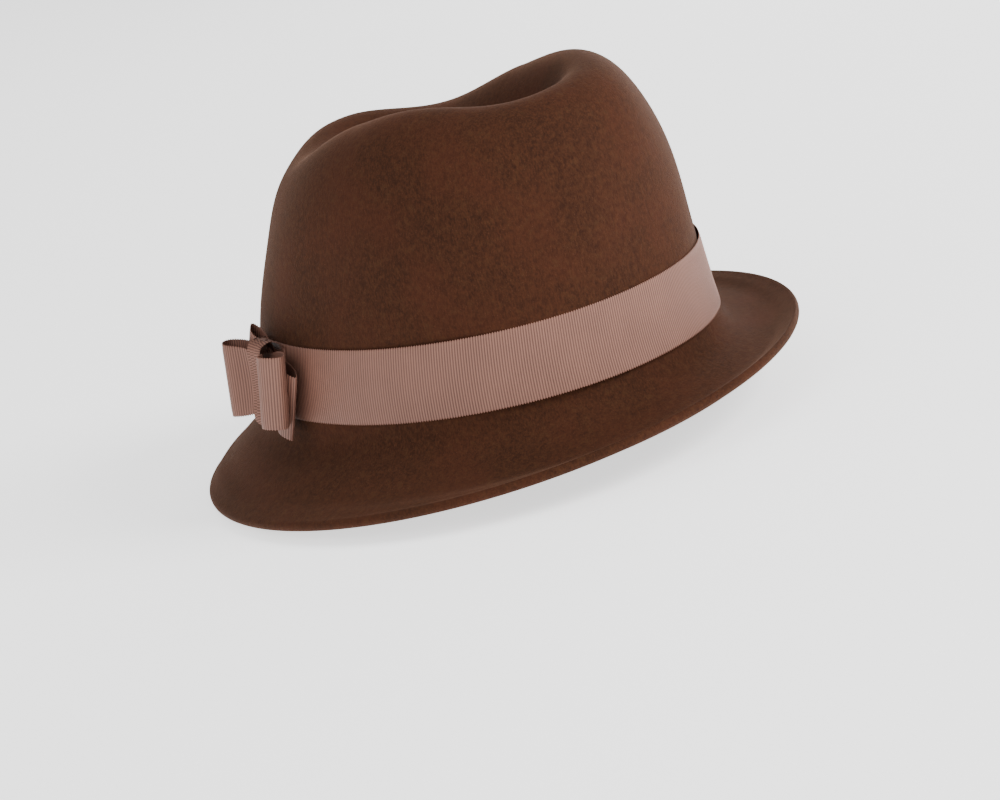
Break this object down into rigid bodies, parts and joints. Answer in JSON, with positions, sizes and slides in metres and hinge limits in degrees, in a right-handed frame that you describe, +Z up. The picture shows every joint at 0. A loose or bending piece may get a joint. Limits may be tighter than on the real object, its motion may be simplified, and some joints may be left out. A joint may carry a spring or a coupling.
{
  "type": "felt trilby hat",
  "caption": "Blocked wool-felt trilby with a dented crown, a short turned-down brim with a folded edge, a ribbed ribbon band and a flat ribbon bow at the side.",
  "frame": {"origin": "centre of the head opening, in the plane where the crown wall turns into the brim", "axes": "+Z up through the crown, -Y the way the wearer faces, +X the wearer's left"},
  "size_m": [0.2432, 0.2692, 0.1462],
  "materials": {
    "felt": "brushed brown wool felt",
    "ribbon": "dusky brown ribbed petersham ribbon",
    "sweatband": "dark brown ribbed sweatband",
    "thread": "brown sewing thread",
    "label": "blank woven label"
  },
  "bodies": {
    "root": {"felt_body": "felt", "hat_band": "ribbon", "bow_outer_loops": "ribbon", "bow_under_loops": "ribbon", "bow_knot": "ribbon", "bow_stitches": "thread", "sweatband": "sweatband", "sweatband_stitches": "thread", "size_label": "label", "label_stitches": "thread"}
  },
  "joints": []
}
